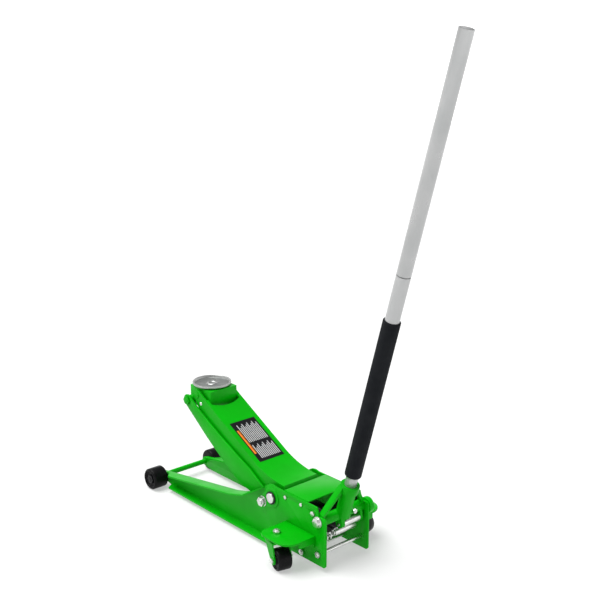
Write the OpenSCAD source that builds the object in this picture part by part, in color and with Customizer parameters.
// Hydraulic floor jack with a two-piece handle.
// X runs from the nose to the handle end, Z is up, and the operator's left side is -Y.
// The drawing frame has its X zero on the front axle; every node is then moved by -x_mid,
// so that the row's origin lies under the middle of the whole jack.

/* [Frame] */
// Distance from the front axle to the main arm pivot
pivot_x = 518; // [480:1:640]
// Height of the main arm pivot above the floor
pivot_z = 139.5; // [130:0.5:168]
// Half of the width over the side plates
frame_half = 80; // [66:1:96]
// Thickness of a side plate
plate_t = 5; // [4:0.5:6]
// Width of the outward top flange of a side plate
top_flange_w = 28; // [22:1:34]
// Width of the outward bottom flange of a side plate
bottom_flange_w = 25; // [20:1:30]
// Height of the lower edge of the side plates above the floor
plate_low = 12; // [10:1:20]
// Length of the frame behind the main pivot
frame_tail = 211; // [205:1:254]

/* [Front wheels] */
// Radius of a front wheel
front_wheel_r = 32.5; // [27:0.5:39]
// Width of a front wheel
front_wheel_w = 49.2; // [41:0.1:59]
// Radius of the front axle
front_axle_r = 7.9; // [6.6:0.1:9.5]

/* [Lift arm and links] */
// Distance between the two pivots of the lift arm
arm_length = 411.3; // [343:0.1:494]
// Slope of the arm as it is drawn
arm_rest_deg = 27.4; // [20:0.1:33]
// Wall of the bent arm
arm_wall = 5; // [4:0.5:6]
// Radius of the main pivot pin
pivot_pin_r = 13.95; // [11.6:0.05:16.8]
// Radius of the crank from the main pivot to the ram pin
crank_r = 40; // [36:1:42]
// Radius of the ram pin
crank_pin_r = 7; // [5.8:0.1:8]
// Radius of the pin that joins the arm to the head
head_pin_r = 10; // [8:0.5:12]
// Thickness of a radius rod
rod_t = 6; // [5:0.5:7]
// Radius of the bolts in the radius rods
rod_bolt_r = 7.9; // [6.6:0.1:9.5]

/* [Head and saddle] */
// Radius of the saddle
saddle_r = 57.3; // [48:0.1:62]
// Height of the saddle
saddle_h = 10; // [9:0.5:12]
// Depth of the saddle's dish
saddle_dish = 7; // [6:0.5:8]
// Radius of the saddle's post
saddle_post_r = 14; // [11:0.5:16]

/* [Handle] */
// Backward lean of the handle as it is drawn
handle_lean = 15.9; // [10:0.1:20]
// Radius of the handle tubes
tube_r = 18.15; // [16:0.05:21.8]
// Wall of the handle tubes
tube_wall = 2; // [1.5:0.1:2.5]
// Length of the lower tube above the socket
lower_tube_len = 606; // [505:1:727]
// Length of the upper tube that shows
upper_tube_len = 576; // [480:1:691]
// Length of the foam bumper
bumper_len = 455; // [380:1:540]
// Thickness of the foam bumper
bumper_t = 4.2; // [3.5:0.1:5.1]

/* [Hydraulic unit] */
// Radius of the ram
ram_r = 12; // [10:0.5:14]
// Outer radius of the oil reservoir
reservoir_r = 31; // [29:0.5:33]
// Radius of the pump plungers
plunger_r = 7; // [5.8:0.1:8]

/* [Casters] */
// Radius of a caster wheel
caster_wheel_r = 30; // [25:0.5:36]
// Width of a caster wheel
caster_wheel_w = 40; // [33:1:48]
// Distance of the king pin outside the side plate
king_pin_out = 62; // [61:1:72]
// Trail from the king pin to the caster axle
caster_trail = 27; // [23:1:28]
// Angle that the casters point outwards as drawn
caster_turn = 15; // [0:1:60]

/* [Fits] */
// Radial clearance of a shaft that turns
running_gap = 0.05; // [0.02:0.01:0.1]
// Clearance of a bolt or shaft that is held fast
bolt_gap = 0.1; // [0.05:0.05:0.3]
// Gap between faces that slide past each other
side_gap = 0.3; // [0.3:0.1:1]

/* [Hidden] */
$fn = 64;

// Colours
bright_green = [0.0, 0.55, 0.03];
zinc = [0.75, 0.76, 0.74];
dull_black = [0.06, 0.06, 0.065];
steel_grey = [0.55, 0.56, 0.55];

// Side positions, from the side plates inwards
plate_in = frame_half - plate_t;
rod_room = 12;                       // from a plate's inner face to a rod's inner face
rod_in = plate_in - rod_room;
arm_half = rod_in - 3;
head_half = arm_half - arm_wall - 7;

// Pivots in the drawing frame: [X, Z]
main_pivot = [pivot_x, pivot_z];
head_pivot = main_pivot + arm_length * [-cos(arm_rest_deg), sin(arm_rest_deg)];
link_offset = [-36, -22];
rod_pivot_frame = main_pivot + link_offset;
rod_pivot_head = head_pivot + link_offset;
crank_pivot = main_pivot - [0, crank_r];
trunnion = main_pivot + [183, -4.5];

// Handle line, from the centre of the socket's mouth
mouth = trunnion + [36, 94];
tip_x = mouth[0] + (lower_tube_len + upper_tube_len) * sin(handle_lean) + tube_r * cos(handle_lean);
x_mid = (tip_x - front_wheel_r) / 2;

// Frame outline
tail_x = pivot_x + frame_tail;
plate_top = pivot_z + 34;
boss_r = 36.5;
corner_r = 8;
rib_t = 5;
front_spacing = 6.6;                 // from a plate's outer face to a front wheel

module placed() translate([-x_mid, 0, 0]) children();
module both_sides() { children(); mirror([0, 1, 0]) children(); }

// A profile drawn in X and Z, given a thickness from y_low to y_high
module slab(y_low, y_high)
    translate([0, y_high, 0]) rotate([90, 0, 0]) linear_extrude(y_high - y_low) children();

// A round bar along Y at [X, Z]
module bar(at, r, y_low, y_high) slab(y_low, y_high) translate(at) circle(r);

// A round bar along X at [Y, Z]
module long_bar(at, r, x_low, x_high)
    translate([x_low, at[0], at[1]]) rotate([0, 90, 0]) cylinder(r = r, h = x_high - x_low);

// A hexagon head or nut along Y, measured across its corners
module hex_y(at, r, y_low, y_high) slab(y_low, y_high) translate(at) circle(r, $fn = 6);

// A smooth stretch of an outline between p0 and p2, pulled towards p1
function bend(p0, p1, p2, steps = 8) =
    [for (i = [0:steps]) let (t = i / steps)
        (1 - t) * (1 - t) * p0 + 2 * t * (1 - t) * p1 + t * t * p2];

// Points on an arc, from one angle to another
function arc(centre, r, from, to, steps = 16) =
    [for (i = [0:steps]) let (a = from + (to - from) * i / steps) centre + r * [cos(a), sin(a)]];

// Two round ends joined by their common tangents
module link_shape(a, ra, b, rb) {
    turn = atan2(b[1] - a[1], b[0] - a[0]);
    side = acos((ra - rb) / norm(b - a));
    polygon(concat(
        arc(a, ra, turn + side, turn - side + 360, 32),
        arc(b, rb, turn - side, turn + side, 24)));
}

// ---- Frame ----

axle_at = [0, front_wheel_r];
nose_r = 14;
plate_top_line = concat(
    [[0, axle_at[1] + nose_r]],
    bend([pivot_x - 160, pivot_z - 35], [pivot_x - 128, pivot_z - 27], [pivot_x - 98, pivot_z - 17.5]),
    [main_pivot + boss_r * [cos(135), sin(135)]]);

module plate_outline() polygon(concat(
    plate_top_line,
    arc(main_pivot, boss_r, 131, 69),
    [[tail_x - 34, plate_top], [tail_x - 27, pivot_z + 10.5]],
    arc([tail_x - corner_r, pivot_z + 10.5 - corner_r], corner_r, 90, 0, 8),
    arc([tail_x - corner_r, plate_low + corner_r], corner_r, 0, -90, 8),
    [[30, plate_low]],
    arc(axle_at, nose_r, 255, 95)));

// Strip under the top edge, which the flange follows
module top_strip() polygon(concat(
    plate_top_line, [for (i = [len(plate_top_line) - 1:-1:0]) plate_top_line[i] - [0, rib_t]]));

module top_flange_plan() polygon([
    [-8, frame_half - 3], [-8, frame_half + 3], [2, frame_half + 6], [front_wheel_r + 2, frame_half + 6],
    [front_wheel_r + 28, frame_half + top_flange_w], [pivot_x - 78, frame_half + top_flange_w],
    [pivot_x - 34, frame_half + 6], [pivot_x - 30, frame_half - 3]]);

module bottom_flange_plan() polygon([
    [front_wheel_r + 6, frame_half - 2.2], [front_wheel_r + 24, frame_half + bottom_flange_w],
    [pivot_x + 2, frame_half + bottom_flange_w], [pivot_x + 24, frame_half - 2.2]]);

screw_spots = [main_pivot + [54, 19.5], main_pivot + [117, 20.5]];
screw_r = 3;
unit_bolt_at = [trunnion[0] - 19, trunnion[1] + 17];
unit_bolt_r = 5;
trunnion_bolt_r = 8;
tie_spots = [[tail_x - 26, plate_low + 32], [tail_x - 89, plate_low + 15]];
tie_r = 5;
pad_r = 27;
link_pad_r = 16;
pad_t = 3;

// One side plate on the +Y side, with its flanges and its doubler pad
module side_plate() difference() {
    union() {
        slab(plate_in, frame_half) plate_outline();
        slab(frame_half - 2, frame_half + pad_t)
            link_shape(main_pivot, pad_r, rod_pivot_frame, link_pad_r);
        intersection() {
            slab(frame_half - 2, frame_half + top_flange_w + 1) top_strip();
            linear_extrude(pivot_z + 80) top_flange_plan();
        }
        translate([0, 0, plate_low]) linear_extrude(rib_t) bottom_flange_plan();
    }
    bar(axle_at, front_axle_r + bolt_gap, 0, frame_half + 10);
    bar(main_pivot, pivot_pin_r + bolt_gap, 0, frame_half + 10);
    bar(rod_pivot_frame, rod_bolt_r + bolt_gap, 0, frame_half + 10);
    bar(unit_bolt_at, unit_bolt_r + bolt_gap, 0, frame_half + 10);
    bar(trunnion, trunnion_bolt_r + bolt_gap, 0, frame_half + 10);
    for (spot = screw_spots) bar(spot, screw_r + bolt_gap, 0, frame_half + 10);
    for (spot = tie_spots) bar(spot, tie_r + bolt_gap, 0, frame_half + 10);
}

module side_plate_right() placed() color(bright_green) side_plate();
module side_plate_left() placed() color(bright_green) mirror([0, 1, 0]) side_plate();

wheel_in = frame_half + front_spacing;
wheel_out = wheel_in + front_wheel_w;
hub_recess = 8;
nut_t = 6;
axle_end = wheel_out - hub_recess + side_gap + nut_t;

module front_axle() placed() color(bright_green) {
    bar(axle_at, front_axle_r, -axle_end, axle_end);
    both_sides() bar(axle_at, front_axle_r + 1, frame_half + side_gap, wheel_in - side_gap);
}

module front_axle_nuts() placed() color(dull_black) both_sides() difference() {
    hex_y(axle_at, front_axle_r + 6, axle_end - nut_t, axle_end);
    bar(axle_at, front_axle_r + bolt_gap, 0, axle_end + 1);
}

// A front wheel with chamfered rims, a sunk outer face and a running bore
module front_wheel() {
    chamfer = 4;
    bore = front_axle_r + running_gap;
    translate([0, wheel_out, front_wheel_r]) rotate([90, 0, 0]) rotate_extrude() polygon([
        [bore, hub_recess], [12 + bore, hub_recess], [13 + bore, hub_recess * 0.75],
        [front_wheel_r - 8, hub_recess * 0.5], [front_wheel_r - 7, 0], [front_wheel_r - chamfer, 0],
        [front_wheel_r, chamfer], [front_wheel_r, front_wheel_w - chamfer],
        [front_wheel_r - chamfer, front_wheel_w], [bore, front_wheel_w]]);
}
module front_wheel_right() placed() color(dull_black) front_wheel();
module front_wheel_left() placed() color(dull_black) mirror([0, 1, 0]) front_wheel();

// ---- Main pivot ----

ring_t = 2.5;
ring_in = frame_half + pad_t + 1.5;
pivot_end = ring_in + ring_t + 3;

module pivot_pin() placed() color(zinc) bar(main_pivot, pivot_pin_r, -pivot_end, pivot_end);

module pivot_rings() placed() color(dull_black) both_sides() difference() {
    bar(main_pivot, pivot_pin_r + 4, ring_in, ring_in + ring_t);
    bar(main_pivot, pivot_pin_r + bolt_gap, 0, pivot_end + 1);
}

bush_r = pivot_pin_r + 6;
module pivot_bushes() placed() color(steel_grey) both_sides() difference() {
    bar(main_pivot, bush_r, arm_half + side_gap, plate_in - side_gap);
    bar(main_pivot, pivot_pin_r + bolt_gap, 0, frame_half);
}

// ---- Radius rods ----

link_bolt_end = frame_half + pad_t + 14;
module link_bolts() placed() color(zinc) both_sides() {
    bar(rod_pivot_frame, rod_bolt_r, rod_in - 0.5, link_bolt_end);
    bar(rod_pivot_frame, rod_bolt_r + 3, rod_in - 2.3, rod_in - side_gap);
}

module link_nuts() placed() color(zinc) both_sides() difference() {
    union() {
        bar(rod_pivot_frame, rod_bolt_r + 7, frame_half + pad_t + 0.1, frame_half + pad_t + 2);
        hex_y(rod_pivot_frame, rod_bolt_r + 6, frame_half + pad_t + 2, frame_half + pad_t + 11);
    }
    bar(rod_pivot_frame, rod_bolt_r + bolt_gap, 0, link_bolt_end + 1);
}

// Rod outline along its own line: s from the frame pivot to the head pivot, h upwards
rod_end_r = 17;
module rod_shape() translate(rod_pivot_frame) rotate(180 - arm_rest_deg) mirror([0, 1]) {
    circle(rod_end_r);
    translate([arm_length, 0]) circle(rod_end_r);
    polygon(concat(
        [[0, -rod_end_r]],
        bend([110, -48], [200, -47], [290, -36]),
        [[arm_length, -rod_end_r], [arm_length, rod_end_r]],
        bend([arm_length - 50, 12], [240, 8], [97, 22]),
        [[0, rod_end_r]]));
}

module radius_rod() difference() {
    slab(rod_in, rod_in + rod_t) rod_shape();
    bar(rod_pivot_frame, rod_bolt_r + running_gap, 0, frame_half);
    bar(rod_pivot_head, rod_bolt_r + running_gap, 0, frame_half);
}
module radius_rod_right() placed() color(bright_green) radius_rod();
module radius_rod_left() placed() color(bright_green) mirror([0, 1, 0]) radius_rod();

// ---- Lift arm ----

// Arm outline along its own line: s from the head pin to the main pivot, h upwards
arm_end_r = 17;
arm_tail_r = 38;
arm_top_line = concat(
    [[0, arm_end_r], [60, 15]],
    bend([arm_length - 126, 12], [arm_length - 61, 11], [arm_length + 5.7, 43]));

module arm_shape() translate(head_pivot) rotate(-arm_rest_deg) polygon(concat(
    arc([0, 0], arm_end_r, 270, 90),
    [for (i = [1:len(arm_top_line) - 1]) arm_top_line[i]],
    arc([arm_length, 0], arm_tail_r, 38, -90),
    [[arm_length - 32, -36], [32, -32], [14, -24]]));

// The space under the arm's top plate, open at the bottom and at both ends
module arm_hollow_shape() translate(head_pivot) rotate(-arm_rest_deg) polygon(concat(
    [for (p = arm_top_line) p - [0, arm_wall]],
    [[arm_length + 60, 30], [arm_length + 60, -60], [-40, -60], [-40, arm_end_r - arm_wall]]));

module lift_arm() placed() color(bright_green) difference() {
    slab(-arm_half, arm_half) arm_shape();
    slab(-arm_half + arm_wall, arm_half - arm_wall) arm_hollow_shape();
    // curved mouth in the top plate, where the head sits between the cheeks
    translate([head_pivot[0], 0, head_pivot[1]]) rotate([0, arm_rest_deg, 0]) {
        translate([-30, -arm_half + arm_wall, 0]) cube([70, 2 * (arm_half - arm_wall), 40]);
        translate([-30, -head_half - 2, 0]) cube([91, 2 * head_half + 4, 40]);
        intersection() {
            translate([-20, 0, 0]) cylinder(r = 95, h = 40);
            translate([0, -head_half - 2, 0]) cube([90, 2 * head_half + 4, 40]);
        }
    }
    bar(head_pivot, head_pin_r + bolt_gap, -frame_half, frame_half);
    bar(main_pivot, pivot_pin_r + running_gap, -frame_half, frame_half);
}

crank_in = 20;
crank_t = 8;
hub_r = pivot_pin_r + 6;
module arm_crank() placed() color(bright_green) difference() {
    union() {
        both_sides() slab(crank_in, crank_in + crank_t)
            link_shape(main_pivot, 30, crank_pivot, crank_pin_r + 6);
        bar(main_pivot, hub_r, -arm_half + arm_wall + 0.1, arm_half - arm_wall - 0.1);
    }
    bar(main_pivot, pivot_pin_r + running_gap, -frame_half, frame_half);
    bar(crank_pivot, crank_pin_r + bolt_gap, -frame_half, frame_half);
}

module crank_pin() placed() color(zinc) {
    bar(crank_pivot, crank_pin_r, -crank_in - crank_t - 3, crank_in + crank_t + 3);
    both_sides()
        bar(crank_pivot, crank_pin_r + 3, crank_in + crank_t + 0.2, crank_in + crank_t + 2.5);
}

module head_pin() placed() color(bright_green) bar(head_pivot, head_pin_r, -arm_half - 2, arm_half + 2);

// ---- Head and saddle ----

head_top = head_pivot[1] + 20;
saddle_x = head_pivot[0] - 4.5;
post_depth = 8;
module saddle_head() placed() color(bright_green) difference() {
    union() {
        // top plate with its front skirt
        slab(-head_half, head_half) polygon([
            rod_pivot_head + [-10, 5], rod_pivot_head + [-10, 42], head_pivot + [52, 20],
            head_pivot + [52, -14], head_pivot + [40, -40], head_pivot + [0, -40],
            rod_pivot_head + [6, -14]]);
        bar(head_pivot, head_pin_r + 5, -head_half - 6.5, head_half + 6.5);
        bar(rod_pivot_head, rod_bolt_r + 5, -rod_in + side_gap, rod_in - side_gap);
    }
    bar(head_pivot, head_pin_r + running_gap, -frame_half, frame_half);
    bar(rod_pivot_head, rod_bolt_r + bolt_gap, -frame_half, frame_half);
    translate([saddle_x, 0, head_top - post_depth - side_gap])
        cylinder(r = saddle_post_r + running_gap, h = 30);
}

link_pin_end = plate_in - 0.6;
module head_link_pin() placed() color(bright_green)
    bar(rod_pivot_head, rod_bolt_r, -link_pin_end, link_pin_end);

module head_nuts() placed() color(bright_green) both_sides() difference() {
    hex_y(rod_pivot_head, rod_bolt_r + 6, rod_in + rod_t + side_gap, plate_in - 1.2);
    bar(rod_pivot_head, rod_bolt_r + bolt_gap, 0, frame_half + 20);
}

// Round lifting pad with a dished top, a raised ring in the middle and a post below
module saddle() placed() color(steel_grey) {
    base = head_top + side_gap;
    translate([saddle_x, 0, 0]) rotate_extrude() polygon([
        [0, head_top - post_depth], [saddle_post_r, head_top - post_depth], [saddle_post_r, base],
        [saddle_r - 9, base], [saddle_r, base + 4], [saddle_r, base + saddle_h],
        [saddle_r - 4, base + saddle_h], [saddle_r - 7, base + saddle_h - saddle_dish],
        [16, base + saddle_h - saddle_dish], [15, base + saddle_h - saddle_dish + 2],
        [11, base + saddle_h - saddle_dish + 2], [10, base + saddle_h - saddle_dish],
        [0, base + saddle_h - saddle_dish]]);
}

// ---- Hydraulic unit ----

ram_z = crank_pivot[1] + 2.5;
ram_at = [0, ram_z];
gland_x = pivot_x + 47;
gland_t = 10;
block_x = pivot_x + 112;
block_t = 26;
block_end = block_x + block_t;
piston_x = pivot_x + 76;
piston_t = 8;
cylinder_r = ram_r + 8;
cylinder_wall = 5;
reservoir_wall = 3;

module cylinder_tube() placed() color(steel_grey) difference() {
    long_bar(ram_at, cylinder_r + cylinder_wall, gland_x + gland_t, block_x - 0.05);
    long_bar(ram_at, cylinder_r, gland_x, block_x + 1);
}

module oil_reservoir() placed() color(dull_black) difference() {
    long_bar(ram_at, reservoir_r, gland_x + gland_t, block_x - 0.05);
    long_bar(ram_at, reservoir_r - reservoir_wall, gland_x, block_x + 1);
}

module cylinder_gland() placed() color(dull_black) difference() {
    union() {
        long_bar(ram_at, reservoir_r, gland_x, gland_x + gland_t - 0.05);
        long_bar(ram_at, ram_r + 5, gland_x - 1.5, gland_x + 1);
    }
    long_bar(ram_at, ram_r + running_gap, gland_x - 3, gland_x + gland_t + 1);
}

// Pumps: [Y, radius]; both lie at the height of the roller
roller_at = trunnion + [7, -27];
roller_r = 11;
pump_z = roller_at[1];
pumps = [[14, plunger_r], [42, plunger_r - 2]];
barrel_end = block_end + 6;
plunger_cap_t = 5;
plunger_end = roller_at[0] - roller_r - 1.6;
plunger_stroke = 27.8;
plunger_in = block_x + 0.5 + plunger_stroke;
manifold_at = [block_end + 38, pump_z - 26];
manifold_r = 10;
spindle_at = [-38, ram_z - 26];
spindle_r = 5;
block_half = 60;

module pump_block() placed() color(dull_black) difference() {
    union() {
        translate([block_x, -block_half, ram_z - 42]) cube([block_t, 2 * block_half, 70]);
        both_sides() slab(block_half - 3, plate_in - bolt_gap)
            link_shape(unit_bolt_at, 8.5, [block_x + 12, pump_z], 11);
        for (pump = pumps) long_bar([pump[0], pump_z], pump[1] + 5, block_end - 1, barrel_end);
        // two bosses carry the cross manifold
        for (y = [2, 48]) long_bar([y, manifold_at[1]], 6, block_end - 1, manifold_at[0] - manifold_r + 2);
    }
    for (pump = pumps)
        long_bar([pump[0], pump_z], pump[1] + running_gap, plunger_in - plunger_stroke - 0.1, barrel_end + 1);
    long_bar(spindle_at, spindle_r + running_gap, block_x + 4, block_end + 1);
    both_sides() bar(unit_bolt_at, unit_bolt_r + bolt_gap, block_half - 4, frame_half);
    bar(manifold_at, manifold_r + bolt_gap, -25, 70);
    translate([block_x + 13, -30, ram_z + 20]) cylinder(r = 6 + bolt_gap, h = 30);
}

module valve_manifold() placed() color(zinc) {
    bar(manifold_at, manifold_r, -18, 58);
    bar(manifold_at, manifold_r - 3, -22, 62);
}

module unit_bolts() placed() color(zinc) both_sides() {
    bar(unit_bolt_at, unit_bolt_r, block_half - 2, frame_half + 1);
    hex_y(unit_bolt_at, unit_bolt_r + 2.5, frame_half + 0.1, frame_half + 5);
}

module filler_plug() placed() color(zinc) translate([block_x + 13, -30, ram_z + 21]) {
    cylinder(r = 6, h = 8);
    translate([0, 0, 7.2]) cylinder(r = 9, h = 4, $fn = 6);
}

module ram() placed() color(zinc) {
    long_bar(ram_at, ram_r, pivot_x + 12, piston_x + 1);
    long_bar(ram_at, cylinder_r - running_gap, piston_x, piston_x + piston_t);
}

// Fork that pushes the crank pin; its slot lets the pin rise and fall
slot_half = crank_pin_r + 3;
fork_half = crank_in - 1;
module crosshead() placed() color(steel_grey) difference() {
    slab(-fork_half, fork_half) polygon([
        [pivot_x - slot_half - 5, ram_z - 18], [pivot_x + slot_half + 6, ram_z - 18],
        [pivot_x + slot_half + 6, ram_z + 14], [pivot_x - slot_half - 5, ram_z + 14]]);
    slab(-fork_half - 1, fork_half + 1) {
        translate([pivot_x, crank_pivot[1] - 2]) circle(slot_half);
        translate([pivot_x - slot_half, crank_pivot[1] - 2]) square([2 * slot_half, 30]);
    }
    long_bar(ram_at, ram_r + bolt_gap, pivot_x + 11.9, pivot_x + 40);
}

// Return springs, drawn as sleeves over the coils, from the crosshead's wings to the block
spring_y = 45;
module return_springs() placed() color(zinc) both_sides() difference() {
    long_bar([spring_y, ram_z - 24], 6, pivot_x + 40, block_x - 0.2);
    long_bar([spring_y, ram_z - 24], 4, pivot_x + 39, block_x);
}

module pump_plungers() placed() color(zinc) for (pump = pumps) {
    long_bar([pump[0], pump_z], pump[1], plunger_in, plunger_end);
    long_bar([pump[0], pump_z], pump[1] + 3, plunger_end - plunger_cap_t, plunger_end);
}

module plunger_springs() placed() color(zinc) for (pump = pumps) difference() {
    long_bar([pump[0], pump_z], pump[1] + 2.6, barrel_end + 0.2, plunger_end - plunger_cap_t - 0.2);
    long_bar([pump[0], pump_z], pump[1] + 1, barrel_end, plunger_end);
}

module release_spindle() placed() color(zinc)
    long_bar(spindle_at, spindle_r, block_x + 6, block_end + 22);

module release_knuckle() placed() color(zinc) difference() {
    union() {
        long_bar(spindle_at, spindle_r + 4, block_end + 12, block_end + 30);
        both_sides_of_knuckle() translate([block_end + 29, spindle_at[0] + 4, spindle_at[1] - 5])
            cube([15, 4, 10]);
    }
    long_bar(spindle_at, spindle_r + bolt_gap, block_end + 10, block_end + 22.5);
    translate([block_end + 39, 0, spindle_at[1]]) rotate([90, 0, 0]) cylinder(r = 2.5, h = 100);
}
module both_sides_of_knuckle() {
    children();
    translate([0, 2 * spindle_at[0], 0]) mirror([0, 1, 0]) children();
}

// ---- Handle socket ----

barrel_r = 15;
collar_r = tube_r + 7;
neck_r = tube_r - 1.65;
collar_h = 22;
socket_depth = 90;
lug_t = 12;
far_lug_in = 58;
ear_y = plate_in - 8;

// Puts its children in the socket's own frame: origin at the centre of the mouth, Z up the tube
module at_mouth() translate([mouth[0], 0, mouth[1]]) rotate([0, handle_lean, 0]) children();

// The trunnion seen from the mouth, along the tube and across it
to_trunnion = trunnion - mouth;
trunnion_s = to_trunnion[0] * sin(handle_lean) + to_trunnion[1] * cos(handle_lean);

module handle_socket() placed() color(bright_green) difference() {
    union() {
        bar(trunnion, barrel_r, -plate_in + side_gap, plate_in - side_gap);
        at_mouth() {
            translate([0, 0, trunnion_s]) cylinder(r = neck_r + 4, h = -trunnion_s);
            translate([0, 0, -collar_h]) cylinder(r = collar_r, h = collar_h);
            // slanted straps from the collar down to the ends of the barrel
            both_sides() translate([-17, 0, 0]) rotate([90, 0, 90]) linear_extrude(16) polygon([
                [neck_r + 2, -4], [collar_r, -4], [ear_y + 7, trunnion_s + 20],
                [ear_y + 7, trunnion_s + 4], [ear_y, trunnion_s + 4], [ear_y, trunnion_s + 18],
                [neck_r + 2, -16]]);
        }
        // lugs that hold the roller
        slab(-lug_t, 0) link_shape(trunnion, barrel_r - 1, roller_at, roller_r);
        slab(far_lug_in, far_lug_in + 8) link_shape(trunnion, barrel_r - 1, roller_at, roller_r);
    }
    at_mouth() translate([0, 0, -socket_depth - 2])
        cylinder(r = neck_r + running_gap, h = socket_depth + 3);
    both_sides() bar(trunnion, trunnion_bolt_r + running_gap, plate_in - 30, plate_in + 1);
    bar(roller_at, 4 + bolt_gap, -lug_t - 1, far_lug_in + 9);
    long_bar(set_bolt_at, 4 + bolt_gap, trunnion[0] + 2, trunnion[0] + barrel_r + 5);
}

module pump_roller() placed() color(zinc) {
    bar(roller_at, roller_r, 0.2, far_lug_in - 0.2);
    bar(roller_at, 4, -lug_t - 3, far_lug_in + 10);
}

// Locks the handle's foot; it screws into the barrel from behind
set_bolt_at = [36, trunnion[1]];
module set_bolt() placed() color(zinc) {
    long_bar(set_bolt_at, 4, trunnion[0] + 3, trunnion[0] + barrel_r + 6);
    translate([trunnion[0] + barrel_r + 0.2, set_bolt_at[0], set_bolt_at[1]]) rotate([0, 90, 0])
        cylinder(r = 7, h = 5, $fn = 6);
}

module trunnion_bolts() placed() {
    color(zinc) mirror([0, 1, 0]) {
        bar(trunnion, trunnion_bolt_r, plate_in - 28, frame_half + 1);
        bar(trunnion, 15, frame_half + 0.1, frame_half + 3);
        hex_y(trunnion, 12.5, frame_half + 2.8, frame_half + 11);
    }
    color(bright_green) {
        bar(trunnion, trunnion_bolt_r, plate_in - 28, frame_half + 1);
        bar(trunnion + [11, 0], 22, frame_half + 0.1, frame_half + 14);
    }
}

// ---- Handle ----

joint_gap = 1.5;
sleeve_r = tube_r - tube_wall - 0.1;
sleeve_len = 60;

module lower_handle() placed() color([0.86, 0.87, 0.87]) at_mouth() rotate_extrude() {
    polygon([
        [neck_r - tube_wall, -socket_depth], [neck_r, -socket_depth], [neck_r, 24], [tube_r, 29],
        [tube_r, lower_tube_len - joint_gap], [tube_r - tube_wall, lower_tube_len - joint_gap],
        [tube_r - tube_wall, 29], [neck_r - tube_wall, 24]]);
}

// The upper tube has a swaged end that slides into the lower tube
module upper_handle() placed() color([0.86, 0.87, 0.87]) at_mouth() rotate_extrude() {
    polygon([
        [sleeve_r - tube_wall, lower_tube_len - sleeve_len], [sleeve_r, lower_tube_len - sleeve_len],
        [sleeve_r, lower_tube_len], [tube_r, lower_tube_len + 1],
        [tube_r, lower_tube_len + upper_tube_len], [tube_r - tube_wall, lower_tube_len + upper_tube_len],
        [tube_r - tube_wall, lower_tube_len + 3], [sleeve_r - tube_wall, lower_tube_len + 1]]);
}

bumper_start = 30;
module foam_bumper() placed() color(dull_black) at_mouth()
    translate([0, 0, bumper_start]) rotate_extrude() polygon([
        [tube_r + bolt_gap, 0], [tube_r + bumper_t - 1.5, 0], [tube_r + bumper_t, 1.5],
        [tube_r + bumper_t, bumper_len - 1.5], [tube_r + bumper_t - 1.5, bumper_len],
        [tube_r + bolt_gap, bumper_len]]);

// ---- Covers and ties ----

cover_start = pivot_x + 44;
cover_len = 95;
cover_t = 3;
module cover_plate() placed() color(bright_green) difference() {
    translate([cover_start, -plate_in + side_gap, plate_top - 19])
        cube([cover_len, 2 * (plate_in - side_gap), 19 + 1.5]);
    translate([cover_start - 1, -plate_in + side_gap + cover_t, plate_top - 20])
        cube([cover_len + 2, 2 * (plate_in - side_gap - cover_t), 20 + 1.5 - cover_t]);
    both_sides() for (spot = screw_spots) bar(spot, screw_r + bolt_gap, plate_in - 10, plate_in + 1);
}

module cover_screws() placed() color(zinc) both_sides() for (spot = screw_spots) {
    bar(spot, screw_r, plate_in - 6, frame_half + 1);
    bar(spot, screw_r + 2, frame_half + 0.1, frame_half + 2.5);
}

module tie_rods() placed() color(zinc) for (spot = tie_spots)
    bar(spot, tie_r, -frame_half - 8, frame_half + 8);

module tie_rod_nuts() placed() color(zinc) for (spot = tie_spots) both_sides() difference() {
    hex_y(spot, tie_r + 4, frame_half + 0.1, frame_half + 6);
    bar(spot, tie_r + bolt_gap, 0, frame_half + 20);
}

// ---- Casters ----

king_x = pivot_x + 91;
king_y = frame_half + king_pin_out;
king_r = 6;
fork_t = 5;
fork_room = 12;                      // from the top of the wheel to the fork's crown
bearing_h = 8;
bracket_t = 6;
crown_z = 2 * caster_wheel_r + fork_room;
bearing_z = crown_z + fork_t + side_gap;
bracket_z = bearing_z + bearing_h + 0.1;
bracket_top = bracket_z + bracket_t;
bracket_front = pivot_x + 55;
bracket_back = pivot_x + 172;
bracket_out = frame_half + 98;

module bracket_plan() {
    translate([bracket_front + 25, bracket_out - 25]) circle(25);
    translate([bracket_back - 42, bracket_out - 42]) circle(42);
    polygon([
        [bracket_front, frame_half + 0.1], [bracket_back, frame_half + 0.1],
        [bracket_back, bracket_out - 42], [bracket_back - 42, bracket_out],
        [bracket_front + 25, bracket_out], [bracket_front, bracket_out - 25]]);
}

module caster_bracket() difference() {
    union() {
        translate([0, 0, bracket_z]) linear_extrude(bracket_t) bracket_plan();
        // upright leg on the side plate and the lip bent down at the back
        translate([bracket_front, frame_half + 0.1, bracket_z - 26])
            cube([bracket_back - bracket_front, 5, 27]);
        translate([bracket_back - 5, frame_half + 0.1, bracket_z - 14])
            cube([5, bracket_out - frame_half - 44, 15]);
    }
    translate([king_x, king_y, 0]) cylinder(r = king_r + bolt_gap, h = 200);
}
module caster_bracket_right() placed() color(bright_green) caster_bracket();
module caster_bracket_left() placed() color(bright_green) mirror([0, 1, 0]) caster_bracket();

module king_pins() placed() color(zinc) both_sides() translate([king_x, king_y, 0]) {
    translate([0, 0, crown_z - 5]) cylinder(r = king_r, h = bracket_top + 10 - crown_z + 5);
    translate([0, 0, crown_z - 5 - side_gap]) cylinder(r = king_r + 5, h = 5);
}

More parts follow.
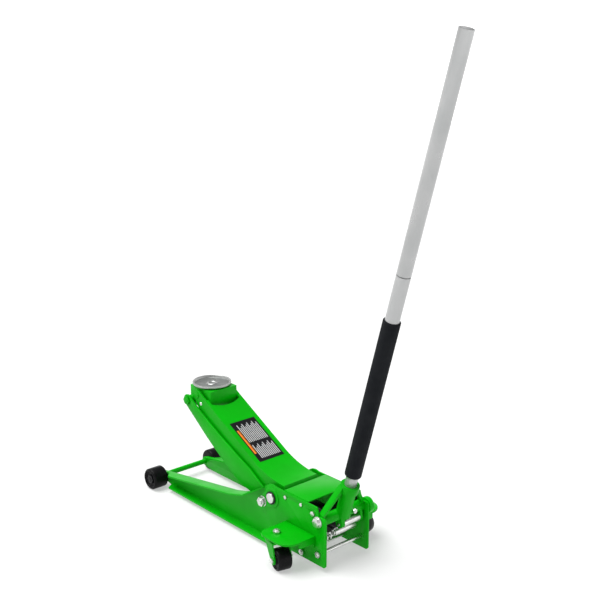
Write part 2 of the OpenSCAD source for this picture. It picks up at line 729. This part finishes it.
module king_nuts() placed() color(zinc) both_sides() translate([king_x, king_y, bracket_top + 0.1])
    difference() {
        cylinder(r = king_r + 4.5, h = 7, $fn = 6);
        translate([0, 0, -1]) cylinder(r = king_r + bolt_gap, h = 20);
    }

module caster_bearings() placed() color(zinc) both_sides() translate([king_x, king_y, bearing_z])
    difference() {
        cylinder(r = 24, h = bearing_h);
        translate([0, 0, -1]) cylinder(r = king_r + bolt_gap, h = 20);
    }

// Puts its children in a right-hand caster's own frame: origin on the floor under the king pin,
// with X along the trail
module at_king() translate([king_x, king_y, 0]) rotate([0, 0, caster_turn]) children();

leg_in = caster_wheel_w / 2 + 2;
leg_t = 4;
caster_axle_at = [caster_trail, caster_wheel_r];
caster_axle_r = 5;

module caster_fork() at_king() difference() {
    union() {
        translate([-21, -leg_in - leg_t, crown_z]) cube([48, 2 * (leg_in + leg_t), fork_t]);
        // legs taper from the crown down to the axle
        both_sides() slab(leg_in, leg_in + leg_t) polygon(concat(
            [[-20, crown_z + 2]], arc(caster_axle_at, 12, 227, 375), [[26, crown_z + 2]]));
    }
    translate([0, 0, crown_z - 1]) cylinder(r = king_r + running_gap, h = fork_t + 2);
    bar(caster_axle_at, caster_axle_r + bolt_gap, -50, 50);
}

axle_half = leg_in + leg_t + 6;
module caster_axle() at_king() {
    bar(caster_axle_at, caster_axle_r, -axle_half, axle_half);
    both_sides()
        hex_y(caster_axle_at, caster_axle_r + 3, leg_in + leg_t + 0.1, leg_in + leg_t + 4.5);
}

module caster_wheel() at_king() translate([caster_axle_at[0], caster_wheel_w / 2, caster_axle_at[1]])
    rotate([90, 0, 0]) rotate_extrude() {
        edge = 5;
        polygon([
            [caster_axle_r + running_gap, 0], [12, 0], [13, 4], [caster_wheel_r - 8, 4],
            [caster_wheel_r - 7, 0], [caster_wheel_r - edge, 0],
            [caster_wheel_r - edge / 3, edge / 3], [caster_wheel_r, edge],
            [caster_wheel_r, caster_wheel_w - edge], [caster_wheel_r - edge / 3, caster_wheel_w - edge / 3],
            [caster_wheel_r - edge, caster_wheel_w], [caster_wheel_r - 7, caster_wheel_w],
            [caster_wheel_r - 8, caster_wheel_w - 4], [13, caster_wheel_w - 4], [12, caster_wheel_w],
            [caster_axle_r + running_gap, caster_wheel_w]]);
    }

module caster_fork_right() placed() color(bright_green) caster_fork();
module caster_fork_left() placed() color(bright_green) mirror([0, 1, 0]) caster_fork();
module caster_axle_right() placed() color(zinc) caster_axle();
module caster_axle_left() placed() color(zinc) mirror([0, 1, 0]) caster_axle();
module caster_wheel_right() placed() color(dull_black) caster_wheel();
module caster_wheel_left() placed() color(dull_black) mirror([0, 1, 0]) caster_wheel();

side_plate_left();
side_plate_right();
front_axle();
front_axle_nuts();
front_wheel_left();
front_wheel_right();
pivot_pin();
pivot_rings();
pivot_bushes();
link_bolts();
link_nuts();
tie_rods();
tie_rod_nuts();
cover_plate();
cover_screws();
caster_bracket_left();
caster_bracket_right();
king_pins();
king_nuts();
caster_bearings();
caster_fork_left();
caster_fork_right();
caster_axle_left();
caster_axle_right();
caster_wheel_left();
caster_wheel_right();
lift_arm();
arm_crank();
crank_pin();
head_pin();
saddle_head();
head_link_pin();
head_nuts();
saddle();
radius_rod_left();
radius_rod_right();
cylinder_tube();
cylinder_gland();
oil_reservoir();
pump_block();
valve_manifold();
unit_bolts();
filler_plug();
ram();
crosshead();
return_springs();
pump_plungers();
plunger_springs();
release_spindle();
release_knuckle();
handle_socket();
trunnion_bolts();
pump_roller();
set_bolt();
lower_handle();
upper_handle();
foam_bumper();
